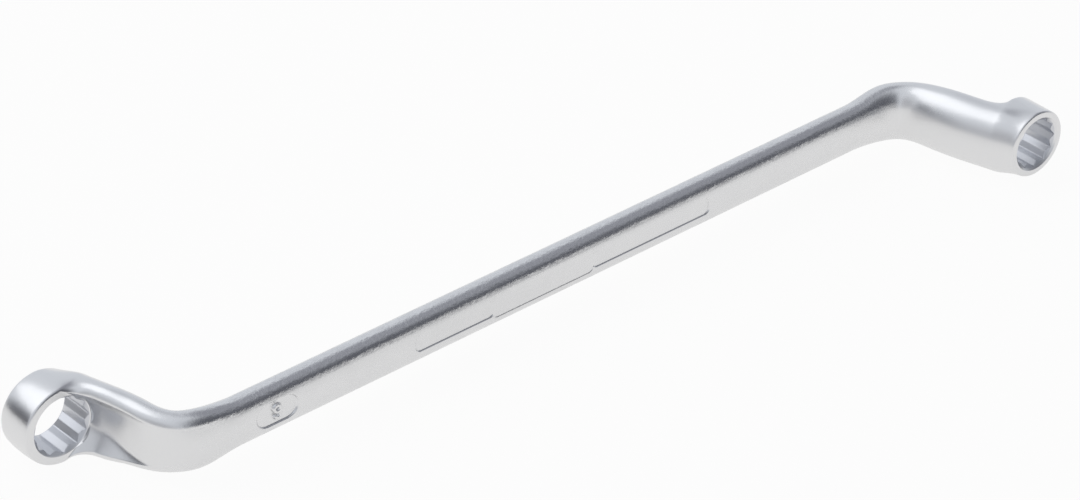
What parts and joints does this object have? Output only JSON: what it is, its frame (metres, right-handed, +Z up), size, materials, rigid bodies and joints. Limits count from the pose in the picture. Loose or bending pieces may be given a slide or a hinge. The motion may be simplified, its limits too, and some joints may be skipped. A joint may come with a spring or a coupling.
{
  "type": "ring spanner",
  "caption": "Double-ended deep-offset ring spanner: a slim shank cranked at each end to a twelve-point ring, for 8 and 9 mm hexagons.",
  "frame": {"origin": "centre of the bounding box's bottom, on the surface that the larger ring stands on", "axes": "+X along the shank towards the 8 mm head, +Y along the socket axes, out of the 9 mm head's outer face, +Z up, with the spanner standing on the edges of its rings"},
  "size_m": [0.1894, 0.0484, 0.0142],
  "materials": {
    "polished_head": "satin chrome plating, smoother on the ground heads",
    "satin_shank": "satin chrome plating over the finely pebbled forging"
  },
  "bodies": {
    "root": {"ring_head_9": "polished_head", "neck_9": "polished_head", "shank": "satin_shank", "neck_8": "polished_head", "ring_head_8": "polished_head"}
  },
  "joints": []
}
